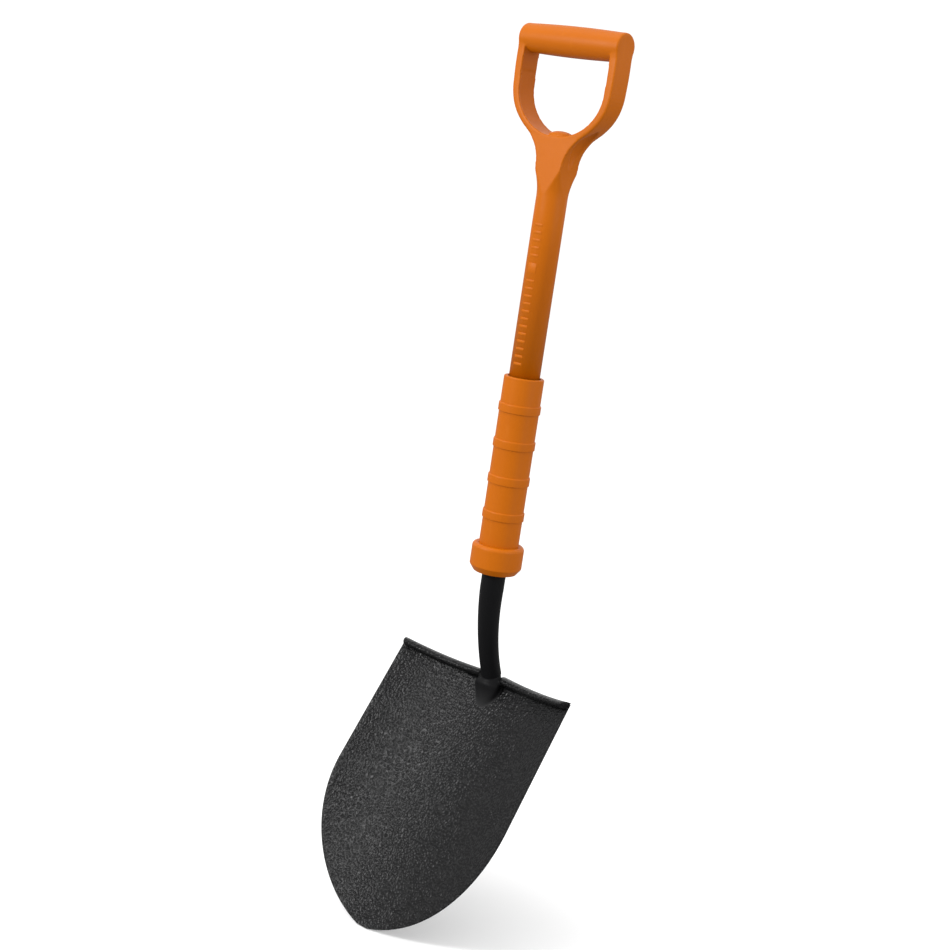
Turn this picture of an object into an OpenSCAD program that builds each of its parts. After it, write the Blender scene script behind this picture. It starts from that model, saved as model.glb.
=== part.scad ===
// Round point shovel with an insulated shaft.
// +Z runs up the shaft towards the D-handle, X runs across the blade and the blade's hollow side faces -Y.
// The origin is on the shaft's axis, at the underside of the guard collar.

/* [Shaft] */
// Outer diameter of the insulating sheath on the shaft
shaft_d = 34; // [30:0.5:40]
// Diameter of the fibreglass core rod
core_d = 24; // [20:0.5:26]
// Height of the shaft's lower end above the collar's underside
shaft_foot_z = 52; // [46:1:70]
// Height of the core rod's upper end above the collar's underside
core_top_z = 462; // [400:1:520]

/* [D-handle] */
// Height of the crossbar's axis above the collar's underside
handle_z = 578; // [540:1:800]
// Width across the two arms
handle_w = 135; // [115:1:165]
// Thickness of each arm
arm_t = 9.5; // [8:0.5:14]
// Depth of the arms, front to back
arm_depth = 27; // [22:0.5:30]
// Diameter of the crossbar at its middle
grip_d = 33; // [31:0.5:38]
// Diameter of the crossbar at its ends
grip_end_d = 31; // [30:0.5:36]
// Height of the handle's opening, from its floor to the crossbar
window_h = 83; // [70:1:100]
// Height of the rounded lower part of the opening
window_round_h = 50; // [40:1:65]
// Material below the rounded part of the opening
heel_t = 6; // [5:0.5:10]
// Height over which the handle's heel narrows into the shaft
throat_h = 58; // [40:1:80]
// Height by which the shaft's domed end stands above the opening's floor
dome_h = 7; // [3:0.5:10]

/* [Grip sleeve] */
// Height of the sleeve's upper rim above the collar's underside
sleeve_top_z = 220; // [180:1:280]
// Outer diameter of the sleeve between its rings
sleeve_d = 44.2; // [43:0.1:54]
// Wall of the sleeve
sleeve_wall = 2.6; // [2:0.1:4]
// Number of raised rings
ring_count = 4; // [2:1:4]
// Distance between rings
ring_pitch = 40; // [30:1:42]
// Distance from the sleeve's rim down to the first ring
ring_first = 29.4; // [15:0.1:35]
// Height of each ring
ring_h = 9.4; // [6:0.1:14]
// Height by which each ring stands out of the sleeve
ring_proud = 1.2; // [0.6:0.1:3]

/* [Guard collar] */
// Outer diameter of the collar
collar_d = 58; // [56:0.5:70]
// Height of the collar
collar_h = 32; // [24:1:40]
// Thickness of the collar's floor
collar_floor = 8; // [5:0.5:12]
// Size of the slope around the collar's underside
collar_slope = 5; // [3:0.5:7]
// Radius of the collar's upper edge
collar_round = 3.5; // [1:0.5:5]
// Width of the rubber seal between the collar and the neck
seal_w = 2; // [1.5:0.1:3]

/* [Socket and neck] */
// Wall of the steel socket
socket_wall = 2; // [1.5:0.1:2.4]
// Height of the socket's upper end above the collar's underside
socket_top_z = 196; // [150:1:205]
// Height over which the neck widens into the socket
socket_flare_h = 34; // [26:1:38]
// Outer diameter of the neck where it leaves the collar
neck_d = 26.7; // [24:0.1:30]
// Outer diameter of the neck at the blade
neck_foot_d = 22.6; // [20:0.1:24]
// Wall of the neck
neck_wall = 3; // [2:0.1:5]
// Length of the straight neck below the collar
neck_straight = 20; // [10:1:30]
// Height from the collar's underside down to the top of the blade
neck_drop = 133.5; // [110:0.5:160]
// Radius of the neck's backward bend
neck_bend_r = 245; // [200:1:300]
// Diameter of the two rivets in the socket
rivet_d = 6; // [4:0.5:8]
// Height of the lower rivet above the collar's underside
rivet_z = 84; // [75:1:100]
// Distance between the two rivets
rivet_pitch = 70; // [40:1:80]
// Thickness of the plug that closes the shaft's lower end
plug_h = 6; // [3:0.5:10]

/* [Blade] */
// Length of the blade along its middle
blade_l = 305; // [260:1:360]
// Width of the blade at its upper corners
blade_top_w = 247.5; // [210:0.5:290]
// Width of the blade where its sides start to curve in
blade_w = 253; // [215:0.5:295]
// Length of the blade's nearly parallel part
blade_straight = 152; // [120:1:180]
// Width of the blunt tip
tip_w = 14; // [8:0.5:30]
// Thickness of the blade's steel
blade_t = 2.5; // [2:0.1:4]
// Angle by which the blade leans forward from the shaft's line
blade_lift = 32.5; // [20:0.5:40]
// Depth of the blade's hollow at its top
dish_top = 24.5; // [10:0.5:30]
// Depth of the blade's hollow near its tip, at full width
dish_tip = 19.5; // [8:0.5:30]

/* [Weld] */
// Length of the weld down the blade's middle
weld_l = 46; // [30:1:70]
// Width of the weld on the blade
weld_w = 18; // [12:1:24]
// Height of the weld through the blade's steel
weld_h = 6; // [5:0.5:9]

/* [Treads] */
// Depth of each foot tread, front to back
tread_depth = 12; // [10:0.5:24]
// Height of each foot tread where it joins the blade
tread_h = 9.2; // [7:0.1:12]
// Angle by which a tread rises towards its front
tread_rise = 20; // [0:1:25]
// Gap between the two treads, for the neck
tread_gap = 27; // [25:0.5:40]

/* [Hidden] */
$fn = 96;
EXTRA = 1;
GAP = 0.2;
ORANGE = "#E0761A";
BLACK = "#1C1D1F";
STEEL = "#8A8C90";

shaft_r = shaft_d / 2;
core_r = core_d / 2;
sleeve_r = sleeve_d / 2;
sleeve_in_r = sleeve_r - sleeve_wall;
socket_r = sleeve_in_r - GAP;
socket_in_r = socket_r - socket_wall;
neck_r = neck_d / 2;
neck_foot_r = neck_foot_d / 2;
collar_r = collar_d / 2;
seal_r = neck_r + seal_w;
flare_z = collar_floor + socket_flare_h;
rivet_levels = [rivet_z, rivet_z + rivet_pitch];

// The handle's opening: straight sides above, half an ellipse below
window_w = handle_w - 2 * arm_t;
window_top_z = handle_z - grip_d / 2;
window_floor_z = window_top_z - window_h;
round_z = window_floor_z + window_round_h;
throat_z = window_floor_z - throat_h;
OUTLINE_STEPS = 14;
HEEL_TURN = 58;
HEEL_CORE_SHARE = 0.5;
HEEL_PULL = [-20, -12];
THROAT_PULL = [4, 26];
THROAT_INSET = 1;
heel_h = window_round_h + heel_t;
heel_end = [handle_w / 2 * cos(HEEL_TURN), round_z - heel_h * sin(HEEL_TURN)];
throat_end = [shaft_r - THROAT_INSET, throat_z];

// The neck is straight below the collar, then bends back on a circle that ends at the blade's top
neck_turn = asin((neck_drop - neck_straight) / neck_bend_r);
root_y = neck_bend_r * (1 - cos(neck_turn));
root_z = -neck_drop;
NECK_STEPS = 16;
NECK_SIDES = 36;
NECK_END_SHARE = 0.9;
NECK_TAPER_SHARE = 0.8;
NECK_LAP = 0.01;
NECK_STEP_IN = 0.1;

BLADE_ROWS = 30;
BLADE_COLS = 20;
TREAD_STEPS = 14;
NOSE_STEPS = 10;
TREAD_NOSE = 2;
TREAD_END_ROUND = 6;
TREAD_END_SIZE = 0.55;
RING_SLOPE_SHARE = 0.6;
WELD_TOP = 8;
WELD_ROOT_SHARE = 0.8;
WELD_WIDE_SHARE = 0.6;
WELD_FN = 32;

// --- points on curves ---

function bezier(a, b, c, d, t) =
    pow(1 - t, 3) * a + 3 * t * pow(1 - t, 2) * b + 3 * t * t * (1 - t) * c + pow(t, 3) * d;

// Right side of the handle's outline, from the crossbar's height down to the shaft
function handle_side() = concat(
    [[handle_w / 2, handle_z]],
    [for (i = [0 : OUTLINE_STEPS])
        let (turn = HEEL_TURN * i / OUTLINE_STEPS)
        [handle_w / 2 * cos(turn), round_z - heel_h * sin(turn)]],
    [for (i = [1 : OUTLINE_STEPS])
        bezier(heel_end, heel_end + HEEL_PULL, throat_end + THROAT_PULL, throat_end, i / OUTLINE_STEPS)]);

function mirrored(points) = [for (i = [len(points) - 1 : -1 : 0]) [-points[i][0], points[i][1]]];

// Right side of the opening, from its top down to its floor
function window_side() = concat(
    [[window_w / 2, handle_z]],
    [for (i = [0 : 2 * OUTLINE_STEPS])
        let (turn = 90 * i / (2 * OUTLINE_STEPS))
        [window_w / 2 * cos(turn), round_z - window_round_h * sin(turn)]]);

function grip_profile() = concat(
    [[0, -window_w / 2 - EXTRA]],
    [for (i = [-OUTLINE_STEPS : OUTLINE_STEPS])
        let (share = i / OUTLINE_STEPS)
        [grip_end_d / 2 + (grip_d - grip_end_d) / 2 * (1 - share * share),
         share * (window_w / 2 + EXTRA)]],
    [[0, window_w / 2 + EXTRA]]);

// Distance from the neck's axis to its surface at a share of its bend: widest at the collar
function neck_radius(share) =
    neck_r + (neck_foot_r - neck_r) * sin(90 * max(0, min(1, share / NECK_TAPER_SHARE)));

// Ring of points around the neck's axis at a share of its bend
function neck_ring(share, less) =
    let (turn = neck_turn * share, r = neck_radius(share) - less)
    [for (k = [0 : NECK_SIDES - 1])
        let (side = 360 * k / NECK_SIDES, out = r * sin(side))
        [r * cos(side),
         neck_bend_r * (1 - cos(turn)) + out * cos(turn),
         -neck_straight - neck_bend_r * sin(turn) + out * sin(turn)]];

// Rings along the bend, from its lower end up, inside the neck's surface by a set depth
function neck_rings(upper, lower, less) =
    [for (i = [NECK_STEPS : -1 : 0]) neck_ring(upper + (lower - upper) * i / NECK_STEPS, less)];

// Half the blade's width at a distance along its middle
tip_arc_w = (blade_w - tip_w) / 2;
tip_arc_l = blade_l - blade_straight;
tip_arc_r = (tip_arc_w * tip_arc_w + tip_arc_l * tip_arc_l) / (2 * tip_arc_w);
function half_width(along) = along < blade_straight
    ? (blade_top_w + (blade_w - blade_top_w) * along / blade_straight) / 2
    : blade_w / 2 - tip_arc_r + sqrt(pow(tip_arc_r, 2) - pow(along - blade_straight, 2));

// How far the blade's sides come forward of its middle
function dish(x, along) =
    (dish_top + (dish_tip - dish_top) * along / blade_l) * pow(2 * x / blade_top_w, 2);

// Point on the blade: x across, along its middle, and behind its front face
function blade_point(x, along, behind) =
    let (back = behind - dish(x, along))
    [x,
     root_y - along * sin(blade_lift) + back * cos(blade_lift),
     root_z - along * cos(blade_lift) - back * sin(blade_lift)];

// Rows come closer together towards the tip
function row_along(i) = blade_l * sin(90 * i / BLADE_ROWS);

function blade_face(behind) = [
    for (i = [0 : BLADE_ROWS], j = [0 : BLADE_COLS])
        blade_point(half_width(row_along(i)) * (2 * j / BLADE_COLS - 1), row_along(i), behind)];

// Outline of a tread's section, forward and up from the blade's back upper edge
function tread_section() = concat(
    [[0, 0], [tread_depth - TREAD_NOSE, 0]],
    [for (i = [1 : NOSE_STEPS - 1])
        let (turn = 90 * i / NOSE_STEPS)
        [tread_depth - TREAD_NOSE * (1 - sin(turn)), -TREAD_NOSE * (1 - cos(turn))]],
    [for (i = [0 : NOSE_STEPS])
        let (turn = 90 * i / NOSE_STEPS, foot = tread_h * tan(blade_lift - tread_rise))
        [foot + (tread_depth - foot) * cos(turn), -TREAD_NOSE - (tread_h - TREAD_NOSE) * sin(turn)]]);

function tread_point(x, size, p) =
    let (edge = blade_point(x, -tread_h / 2, blade_t), f = p[0] * size, u = p[1] * size)
    [x,
     edge[1] - f * cos(tread_rise) + u * sin(tread_rise),
     edge[2] + f * sin(tread_rise) + u * cos(tread_rise)];

// --- solids from rows of points ---

function grid_faces(rows, cols, first, flip) = [
    for (i = [0 : rows - 2], j = [0 : cols - 2])
        let (a = first + i * cols + j, b = a + 1, c = a + cols + 1, d = a + cols)
        each flip ? [[a, c, b], [a, d, c]] : [[a, b, c], [a, c, d]]];

// Closed tube of rings with equal numbers of points
module swept(rings) {
    sides = len(rings[0]);
    last = len(rings) - 1;
    points = [for (ring = rings) each ring];
    walls = [for (i = [0 : last - 1], k = [0 : sides - 1])
        let (n = (k + 1) % sides, a = i * sides + k, b = i * sides + n)
        each [[a, b + sides, b], [a, a + sides, b + sides]]];
    foot = [for (k = [0 : sides - 1]) k];
    head = [for (k = [sides - 1 : -1 : 0]) last * sides + k];
    polyhedron(points, concat(walls, [foot], [head]), convexity = 6);
}

// --- steel parts ---

module blade_plate() {
    rows = BLADE_ROWS + 1;
    cols = BLADE_COLS + 1;
    count = rows * cols;
    points = concat(blade_face(0), blade_face(blade_t));
    top = [for (j = [0 : cols - 2]) each [[j, j + count, j + 1], [j + 1, j + count, j + 1 + count]]];
    tip_first = (rows - 1) * cols;
    tip = [for (j = [0 : cols - 2])
        let (a = tip_first + j)
        each [[a, a + 1, a + count], [a + 1, a + 1 + count, a + count]]];
    left = [for (i = [0 : rows - 2])
        let (a = i * cols, b = a + cols)
        each [[a, b, a + count], [b, b + count, a + count]]];
    right = [for (i = [0 : rows - 2])
        let (a = i * cols + cols - 1, b = a + cols)
        each [[a, a + count, b], [b, a + count, b + count]]];
    polyhedron(points,
        concat(grid_faces(rows, cols, 0, false), grid_faces(rows, cols, count, true), top, tip, left, right),
        convexity = 6);
}

module tread() {
    first = tread_gap / 2;
    last = half_width(0);
    swept([for (i = [0 : TREAD_STEPS])
        let (
            x = first + (last - first) * (1 - cos(90 * i / TREAD_STEPS)),
            in = min(1, (x - first) / TREAD_END_ROUND),
            size = TREAD_END_SIZE + (1 - TREAD_END_SIZE) * sqrt(1 - pow(1 - in, 2)))
        [for (p = tread_section()) tread_point(x, size, p)]]);
}

module blade() {
    color(BLACK) {
        blade_plate();
        tread();
        mirror([1, 0, 0]) tread();
    }
}

// Welded blend between the neck's end and both faces of the blade
module neck_weld() {
    end_turn = neck_turn * NECK_END_SHARE;
    color(BLACK) hull() {
        translate([0, neck_bend_r * (1 - cos(end_turn)), -neck_straight - neck_bend_r * sin(end_turn)])
            rotate([end_turn, 0, 0])
                translate([0, 0, -EXTRA]) cylinder(r = neck_radius(NECK_END_SHARE), h = EXTRA, $fn = WELD_FN);
        translate(blade_point(0, WELD_TOP, blade_t / 2))
            sphere(r = neck_foot_r * WELD_ROOT_SHARE, $fn = WELD_FN);
        translate(blade_point(0, weld_l, blade_t / 2))
            rotate([-blade_lift, 0, 0])
                linear_extrude(height = EXTRA, center = true)
                    circle(d = weld_h, $fn = WELD_FN);
        for (side = [-1, 1])
            translate(blade_point(side * weld_w / 2, weld_l * WELD_WIDE_SHARE, blade_t / 2))
                sphere(d = weld_h, $fn = WELD_FN);
    }
}

// Straight neck that widens into the socket, as a solid of a given neck radius, socket radius and top
module neck_and_socket(neck_side_r, socket_side_r, top_z) {
    rotate_extrude() polygon([
        [0, -neck_straight],
        [neck_side_r, -neck_straight],
        [neck_side_r, collar_floor],
        [socket_side_r, flare_z],
        [socket_side_r, top_z],
        [0, top_z]]);
}

module neck_socket() {
    color(BLACK) difference() {
        union() {
            neck_and_socket(neck_r, socket_r, socket_top_z);
            swept(neck_rings(-NECK_LAP, NECK_END_SHARE, NECK_STEP_IN));
        }
        neck_and_socket(neck_r - neck_wall, socket_in_r, socket_top_z + EXTRA);
        swept(neck_rings(-2 * NECK_LAP, NECK_END_SHARE + NECK_LAP, neck_wall + 2 * NECK_STEP_IN));
        rivet_holes();
    }
}

module rivet_holes() {
    for (z = rivet_levels)
        translate([0, 0, z]) rotate([90, 0, 0])
            cylinder(d = rivet_d, h = 2 * socket_r + 2 * EXTRA, center = true);
}

module socket_rivets() {
    color(STEEL) intersection() {
        rivet_holes();
        cylinder(r = socket_r, h = socket_top_z);
    }
}

// --- shaft ---

module core_rod() {
    color("#D8D2B4") difference() {
        translate([0, 0, shaft_foot_z]) cylinder(r = core_r, h = core_top_z - shaft_foot_z);
        rivet_holes();
    }
}

module shaft_end_plug() {
    color(BLACK) translate([0, 0, shaft_foot_z - plug_h]) cylinder(r = core_r, h = plug_h);
}

module handle_plate() {
    rotate([90, 0, 0]) linear_extrude(height = arm_depth, center = true) difference() {
        polygon(concat(handle_side(), mirrored(handle_side())));
        polygon(concat(window_side(), mirrored(window_side())));
    }
}

module arm_tops() {
    intersection() {
        translate([0, 0, handle_z]) rotate([0, 90, 0])
            cylinder(d = grip_end_d, h = handle_w, center = true);
        cube([handle_w, arm_depth, 2 * (handle_z + grip_d)], center = true);
        for (side = [-1, 1])
            translate([side * (handle_w - arm_t) / 2, 0, handle_z])
                cube([arm_t, arm_depth, 2 * grip_d], center = true);
    }
}

module handle_heel() {
    difference() {
        union() {
            hull() {
                translate([0, 0, throat_z]) cylinder(r = shaft_r, h = EXTRA);
                translate([0, 0, heel_end[1] - EXTRA / 2])
                    cube([2 * HEEL_CORE_SHARE * heel_end[0], arm_depth, EXTRA], center = true);
            }
            translate([0, 0, throat_z]) cylinder(r = shaft_r, h = window_floor_z - throat_z);
            dome();
        }
        rotate([90, 0, 0]) linear_extrude(height = 2 * shaft_d, center = true)
            translate([0, dome_h]) polygon(concat(window_side(), mirrored(window_side())));
    }
}

// Rounded end of the shaft, which shows in the floor of the handle's opening
module dome() {
    translate([0, 0, window_floor_z]) rotate_extrude() polygon(concat(
        [[0, 0]],
        [for (i = [0 : OUTLINE_STEPS])
            let (turn = 90 * i / OUTLINE_STEPS)
            [shaft_r * cos(turn), dome_h * sin(turn)]]));
}

module shaft_handle() {
    color(ORANGE) difference() {
        union() {
            translate([0, 0, shaft_foot_z]) cylinder(r = socket_in_r, h = socket_top_z - shaft_foot_z);
            translate([0, 0, socket_top_z]) cylinder(r = shaft_r, h = throat_z - socket_top_z + EXTRA);
            handle_plate();
            handle_heel();
            arm_tops();
            translate([0, 0, handle_z]) rotate([0, 90, 0]) rotate_extrude() polygon(grip_profile());
        }
        translate([0, 0, shaft_foot_z - EXTRA]) cylinder(r = core_r, h = core_top_z - shaft_foot_z + EXTRA);
        rivet_holes();
    }
}

// --- insulating covers ---

module grip_sleeve() {
    ring_r = sleeve_r + ring_proud;
    ring_slope = ring_proud * RING_SLOPE_SHARE;
    outside = [for (i = [ring_count - 1 : -1 : 0])
        let (top = sleeve_top_z - ring_first - i * ring_pitch, foot = top - ring_h)
        each [[sleeve_r, foot], [ring_r, foot + ring_slope], [ring_r, top - ring_slope], [sleeve_r, top]]];
    color(ORANGE) rotate_extrude() polygon(concat(
        [[sleeve_in_r, collar_floor], [sleeve_r, collar_floor]],
        outside,
        [[sleeve_r, sleeve_top_z], [sleeve_in_r, sleeve_top_z]]));
}

module guard_collar() {
    ROUND_STEPS = 6;
    edge = [for (i = [0 : ROUND_STEPS])
        let (turn = 90 * i / ROUND_STEPS)
        [collar_r - collar_round * (1 - cos(turn)), collar_h - collar_round * (1 - sin(turn))]];
    color(ORANGE) rotate_extrude() polygon(concat(
        [[seal_r, 0], [collar_r - collar_slope, 0], [collar_r, collar_slope]],
        edge,
        [[sleeve_r, collar_h], [sleeve_r, collar_floor], [seal_r, collar_floor]]));
}

module neck_seal() {
    color(BLACK) rotate_extrude() polygon([
        [neck_r, 0], [seal_r, 0], [seal_r, collar_floor], [neck_r, collar_floor]]);
}

blade();
neck_weld();
neck_socket();
socket_rivets();
core_rod();
shaft_end_plug();
shaft_handle();
grip_sleeve();
guard_collar();
neck_seal();
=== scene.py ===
import math

import bmesh
import bpy
from mathutils import Matrix, Vector


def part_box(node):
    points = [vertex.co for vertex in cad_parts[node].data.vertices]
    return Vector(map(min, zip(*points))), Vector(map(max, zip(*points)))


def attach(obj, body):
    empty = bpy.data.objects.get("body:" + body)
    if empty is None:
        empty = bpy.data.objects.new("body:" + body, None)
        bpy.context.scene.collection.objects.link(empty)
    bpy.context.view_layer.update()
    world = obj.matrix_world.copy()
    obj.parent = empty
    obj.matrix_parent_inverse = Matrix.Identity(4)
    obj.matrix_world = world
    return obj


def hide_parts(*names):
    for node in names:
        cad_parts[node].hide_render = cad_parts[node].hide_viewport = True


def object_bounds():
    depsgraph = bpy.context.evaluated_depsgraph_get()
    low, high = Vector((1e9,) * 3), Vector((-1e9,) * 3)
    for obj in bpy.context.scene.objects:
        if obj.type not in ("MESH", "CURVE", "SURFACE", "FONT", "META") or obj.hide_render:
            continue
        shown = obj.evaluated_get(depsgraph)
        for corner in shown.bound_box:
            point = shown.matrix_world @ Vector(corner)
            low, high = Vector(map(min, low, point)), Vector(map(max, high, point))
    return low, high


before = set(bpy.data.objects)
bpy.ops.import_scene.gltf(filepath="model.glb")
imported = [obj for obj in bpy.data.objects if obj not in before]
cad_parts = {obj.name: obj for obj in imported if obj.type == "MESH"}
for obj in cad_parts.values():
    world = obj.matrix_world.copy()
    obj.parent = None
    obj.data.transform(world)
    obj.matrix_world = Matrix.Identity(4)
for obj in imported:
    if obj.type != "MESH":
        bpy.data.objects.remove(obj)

cad_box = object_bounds()

MM = 0.001
TURN = math.tau
TINY = 0.001 * MM
CLEAR = 10 * MM

# ---------------------------------------------------------------- sizes, from the frame where it says them

handle_high, sleeve_high, collar_high, socket_high, seal_high = (
    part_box(node)[1] for node in ("shaft_handle", "grip_sleeve", "guard_collar", "neck_socket", "neck_seal")
)

# D-handle
GRIP_R = 16.5 * MM
GRIP_END_R = 15.4 * MM
GRIP_ROUND = 2 * MM
GRIP_Z = handle_high.z - GRIP_R
HANDLE_HALF_W = handle_high.x
ARM_T = 9.5 * MM
ARM_HALF_D = 13.5 * MM
ARM_EDGE = 2.2 * MM
CAP_H = 24 * MM
CAP_HALF_D = GRIP_END_R - 0.5 * MM
WINDOW_HALF_W = HANDLE_HALF_W - ARM_T
WINDOW_TOP = GRIP_Z - GRIP_R
WINDOW_FLOOR = WINDOW_TOP - 83 * MM
WINDOW_ROUND = 50 * MM
SHAFT_R = 17 * MM
DOME_H = 7 * MM
DOME_R = SHAFT_R - 1 * MM
DOME_FOOT_R = SHAFT_R - 4 * MM
DOME_DEPTH = 20 * MM
DOME_FLAT = 0.78
CREASE_Z = WINDOW_FLOOR - 59.5 * MM
HEAD_FOOT = CREASE_Z - 19 * MM
ARMS_FOOT_H = 42 * MM
BLOCK_HALF_D = 30 * MM
CHEEK_HIGH_X = 49 * MM
CHEEK_HIGH_DROP = 87 * MM
CHEEK_LOW_X = 17.5 * MM
CHEEK_LOW_DROP = 133.5 * MM
CHEEK_R = 11.6 * MM
JOIN_H = 5 * MM
JOIN_GAP = 2 * MM
MOULD_STEP = 0.8 * MM
MOULD_SMOOTHING = 8
MOULD_SMOOTH_FACTOR = 0.6
SHAFT_FOOT = sleeve_high.z - 15 * MM
BAR_W = 10.5 * MM
BAR_H = 2.6 * MM
BAR_PROUD = 0.35 * MM
BAR_SINK = 0.6 * MM
BAR_ROUND = 0.2 * MM
BAR_PITCH = 8.2 * MM
BARS_BELOW = 12
BARS_ABOVE = 5
PAD_H = 11 * MM
BAR_FOOT = sleeve_high.z + 15 * MM
BAR_TURN = math.radians(3)

# Sleeve and collar
RING_R = sleeve_high.x
SLEEVE_R = RING_R - 1.2 * MM
SLEEVE_IN_R = SLEEVE_R - 2.6 * MM
RING_FIRST = 29.4 * MM
RING_PITCH = 40 * MM
RING_H = 9.4 * MM
RING_COUNT = 4
RIM_R = SHAFT_R + 1 * MM
RIM_LIP = 4 * MM
COLLAR_R = collar_high.x
COLLAR_FLOOR = seal_high.z
COLLAR_SLOPE = 5 * MM
COLLAR_SLOPE_H = 7 * MM
COLLAR_ROUND = 4.5 * MM

# Neck and blade
SOCKET_R = socket_high.x
SOCKET_WALL = 2 * MM
SOCKET_FLARE_H = 34 * MM
SOCKET_FLOOR_H = 6 * MM
NECK_R = seal_high.x - 2 * MM
NECK_FOOT_R = 11.3 * MM
NECK_STRAIGHT = 20 * MM
NECK_DROP = 133.5 * MM
NECK_BEND_R = 245 * MM
NECK_TURN = math.asin((NECK_DROP - NECK_STRAIGHT) / NECK_BEND_R)
NECK_STEPS = 24
NECK_SIDES = 64
NECK_END_SHARE = 0.9
NECK_TAPER_SHARE = 0.8
BLADE_LIFT = math.radians(32.5)
BLADE_L = 305 * MM
BLADE_TOP_W = 247.5 * MM
BLADE_W = 253 * MM
BLADE_STRAIGHT = 152 * MM
BLADE_T = 2.5 * MM
PLATE_ROUND = 0.8 * MM
TIP_W = 14 * MM
DISH_TOP = 24.5 * MM
DISH_TIP = 19.5 * MM
BLADE_COLS = 40
BLADE_ROWS = 48
ROOT = Vector((0, NECK_BEND_R * (1 - math.cos(NECK_TURN)), -NECK_DROP))
TREAD_DEPTH = 12 * MM
TREAD_COVER = 5 * MM
TREAD_BASE_LIFT = 1.5 * MM
TREAD_H = 10 * MM
TREAD_ROUND = 0.7 * MM
TREAD_RISE = math.radians(20)
TREAD_FULLNESS = 0.75
TREAD_NECK_LIFT = 5 * MM
TREAD_END_LIFT = 0.5 * MM
TREAD_GAP = 27 * MM
TREAD_STEPS = 24
TREAD_END_ROUND = 6 * MM
TREAD_END_SIZE = 0.55
TREAD_TIP_ROUND = 2.5 * MM
TREAD_TIP_CUT = 0.12
WELD_START_SHARE = 0.72
WELD_SINK = 0.3 * MM
WELD_L = 38 * MM
WELD_PATCH_L = 1.5 * WELD_L
WELD_STEP = 0.9 * MM
WELD_STEPS = 14
WELD_TAPER = 0.92
WELD_FIRST_TILT = 0.1
WELD_TILT = 2.2
WELD_BACK = 1 * MM
WELD_WIDTH = 1.4
WELD_SPREAD = 1.4
WELD_HALF_W = 38 * MM
WELD_SMOOTHING = 40
WELD_SMOOTH_FACTOR = 0.8


# Fineness of curves
LATHE_STEPS = 128
MOULD_LATHE_STEPS = 96
DOME_STEPS = 64
CUTTER_STEPS = 48
CHEEK_STEPS = 12
CURVE_STEPS = 8
CURVE_RESOLUTION = 12
EDGE_RESOLUTION = 4
EDGE_ANGLE = math.radians(50)
BAR_SHADE_ANGLE = math.radians(40)
NECK_SHADE_ANGLE = math.radians(50)
BLADE_SHADE_ANGLE = math.radians(45)
FACE_WEIGHT = 80
COLLAR_ROUND_STEPS = 12
FLARE_STEPS = 12
TREAD_SECTION_STEPS = 20
WELD_SIDES = 48


# ---------------------------------------------------------------- shop tools

def put_down():
    """Nothing stays selected, so that the next tool acts only on the next piece."""
    bpy.ops.object.select_all(action="DESELECT")


def pick(piece):
    put_down()
    piece.select_set(True)
    bpy.context.view_layer.objects.active = piece


def edit(piece):
    pick(piece)
    bpy.ops.object.mode_set(mode="EDIT")
    bpy.ops.mesh.select_mode(type="VERT")
    bpy.ops.mesh.select_all(action="SELECT")


def done():
    bpy.ops.object.mode_set(mode="OBJECT")


def choose_faces(test):
    """In edit mode, leaves selected only the faces whose middle passes the test."""
    bpy.ops.mesh.select_mode(type="FACE")
    bpy.ops.mesh.select_all(action="DESELECT")
    shape = bmesh.from_edit_mesh(bpy.context.object.data)
    for face in shape.faces:
        face.select_set(test(face.calc_center_median()))
    shape.select_flush_mode()
    bmesh.update_edit_mesh(bpy.context.object.data)


def extrude(x=0.0, y=0.0, z=0.0):
    bpy.ops.mesh.extrude_region_move(TRANSFORM_OT_translate={"value": (x, y, z)})


def scale(x, y, z, centre):
    bpy.ops.transform.resize(value=(x, y, z), center_override=centre)


def tip_over(angle, centre):
    """Turns what is selected about the X axis through a point."""
    bpy.ops.transform.rotate(value=-angle, orient_axis="X", center_override=centre)


def settle(piece):
    """Puts a piece's place, turn and scale into its mesh."""
    pick(piece)
    bpy.ops.object.transform_apply(location=True, rotation=True, scale=True)
    return piece


def clean(piece):
    edit(piece)
    bpy.ops.mesh.remove_doubles(threshold=TINY)
    bpy.ops.mesh.normals_make_consistent(inside=False)
    done()
    return piece


def named(name):
    piece = bpy.context.object
    piece.name = name
    piece.data.name = name
    return piece


def with_modifier(piece, kind, **settings):
    """Adds a modifier to a piece and applies it."""
    pick(piece)
    modifier = piece.modifiers.new(kind.lower(), kind)
    for setting, value in settings.items():
        setattr(modifier, setting, value)
    bpy.ops.object.modifier_apply(modifier=modifier.name)
    return piece


def combine(piece, other, how):
    """Joins, cuts or keeps what two closed shapes share, and uses the second one up."""
    with_modifier(piece, "BOOLEAN", object=other, operation=how, solver="EXACT")
    bpy.data.objects.remove(other)
    return piece


def gather(pieces):
    """Makes one object of several."""
    put_down()
    for piece in pieces:
        piece.select_set(True)
    bpy.context.view_layer.objects.active = pieces[0]
    bpy.ops.object.join()
    return pieces[0]


def turned(name, profile, steps=LATHE_STEPS):
    """Closed ring or solid turned about Z from (radius, height) points, as on a lathe."""
    put_down()
    first = profile[0]
    bpy.ops.mesh.primitive_plane_add(size=MM, location=(first[0], 0, first[1]))
    piece = settle(named(name))
    edit(piece)
    bpy.ops.mesh.merge(type="CENTER")
    for here, there in zip(profile, profile[1:]):
        extrude(x=there[0] - here[0], z=there[1] - here[1])
    bpy.ops.mesh.select_all(action="SELECT")
    bpy.ops.mesh.spin(steps=steps, angle=TURN, center=(0, 0, 0), axis=(0, 0, 1))
    done()
    return clean(piece)


def quarter_turn(steps):
    """Angles from nothing to a quarter turn, in even steps."""
    return [TURN / 4 * step / steps for step in range(steps + 1)]


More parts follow.
